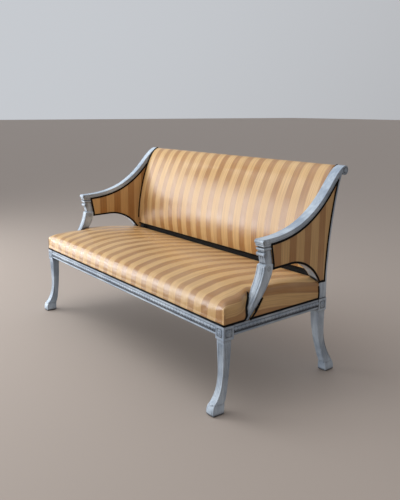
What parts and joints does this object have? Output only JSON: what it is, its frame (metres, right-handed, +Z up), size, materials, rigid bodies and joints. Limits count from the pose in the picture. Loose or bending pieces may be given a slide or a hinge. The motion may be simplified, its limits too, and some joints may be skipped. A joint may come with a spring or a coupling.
{
  "type": "settee",
  "caption": "Neoclassical two-armed settee with a carved painted frame, sabre legs, scrolled arms with arched openings, stuffed-over seat and upholstered roll-over back.",
  "frame": {"origin": "on the floor, under the middle of the settee's overall width and depth", "axes": "+X runs along the seat, to the right for someone who faces the settee's front; -Y is the front; +Z is up"},
  "size_m": [1.6362, 0.7588, 0.92],
  "materials": {
    "painted_wood": "matt grey-blue paint, rubbed through at the edges",
    "bare_wood": "bare",
    "striped_satin": "gold satin with matt stripes",
    "black_gimp": "woven braid",
    "webbing": "jute",
    "hessian": "coarse weave",
    "stuffing": "wadding",
    "dust_cloth": "plain weave",
    "steel": "plain"
  },
  "bodies": {
    "root": {"front_leg_left": "painted_wood", "front_leg_right": "painted_wood", "rear_leg_left": "painted_wood", "rear_leg_right": "painted_wood", "front_seat_rail": "painted_wood", "rear_seat_rail": "painted_wood", "side_seat_rail_left": "painted_wood", "side_seat_rail_right": "painted_wood", "seat_stretcher": "bare_wood", "glue_blocks": "bare_wood", "glue_block_screws": "steel", "arm_support_left": "painted_wood", "arm_support_right": "painted_wood", "arm_rail_left": "painted_wood", "arm_rail_right": "painted_wood", "arched_rail_left": "painted_wood", "arched_rail_right": "painted_wood", "crest_rail": "bare_wood", "lower_back_rail": "bare_wood", "back_stays": "bare_wood", "seat_cross_webbing": "webbing", "seat_long_webbing": "webbing", "seat_hessian": "hessian", "seat_stuffing": "stuffing", "seat_cover": "striped_satin", "seat_gimp": "black_gimp", "seat_gimp_left": "black_gimp", "seat_gimp_right": "black_gimp", "dust_cover": "dust_cloth", "back_webbing": "webbing", "back_hessian": "hessian", "back_stuffing": "stuffing", "back_cover": "striped_satin", "outside_back_cover": "striped_satin", "back_foot_gimp": "black_gimp", "outside_back_gimp": "black_gimp", "arm_hessian_left": "hessian", "arm_hessian_right": "hessian", "arm_stuffing_left": "stuffing", "arm_stuffing_right": "stuffing", "inner_arm_cover_left": "striped_satin", "inner_arm_cover_right": "striped_satin", "outer_arm_cover_left": "striped_satin", "outer_arm_cover_right": "striped_satin", "inner_arm_gimp_left": "black_gimp", "inner_arm_gimp_right": "black_gimp", "outer_arm_gimp_left": "black_gimp", "outer_arm_gimp_right": "black_gimp"}
  },
  "joints": []
}
